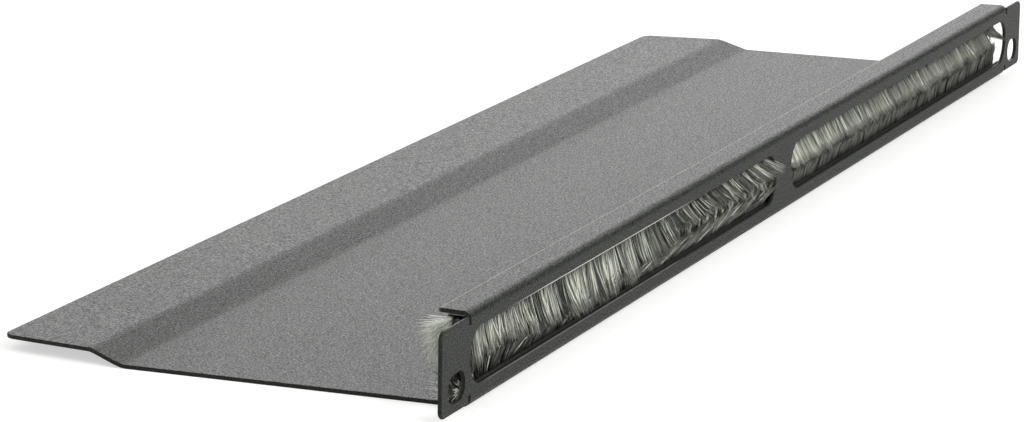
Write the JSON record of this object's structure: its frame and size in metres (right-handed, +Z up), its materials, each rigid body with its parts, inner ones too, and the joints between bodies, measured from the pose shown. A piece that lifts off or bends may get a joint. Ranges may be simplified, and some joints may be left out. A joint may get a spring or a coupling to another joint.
{
  "type": "rack cable organizer",
  "caption": "Low rack panel folded from sheet steel, with slotted ears, long brush-lined windows that cables pass through, and a shallow tray behind that carries them.",
  "frame": {"origin": "midway between the ear slots, on the front face of the ears", "axes": "+X along the rack's width, +Y from the front face back to the tray's rear lip, +Z up"},
  "size_m": [0.4826, 0.119, 0.022],
  "materials": {
    "powder_coat": "fine-textured matte powder coat, black-grey",
    "strip_channel": "black-passivated zinc-plated strip, crimped",
    "core_wire": "drawn wire",
    "bristle": "fine translucent nylon hairs, grey-green"
  },
  "bodies": {
    "root": {"folded_panel_tray": "powder_coat", "left_upper_brush_channel": "strip_channel", "left_upper_core_wire": "core_wire", "left_upper_bristles": "bristle", "left_lower_brush_channel": "strip_channel", "left_lower_core_wire": "core_wire", "left_lower_bristles": "bristle", "right_upper_brush_channel": "strip_channel", "right_upper_core_wire": "core_wire", "right_upper_bristles": "bristle", "right_lower_brush_channel": "strip_channel", "right_lower_core_wire": "core_wire", "right_lower_bristles": "bristle"}
  },
  "joints": []
}
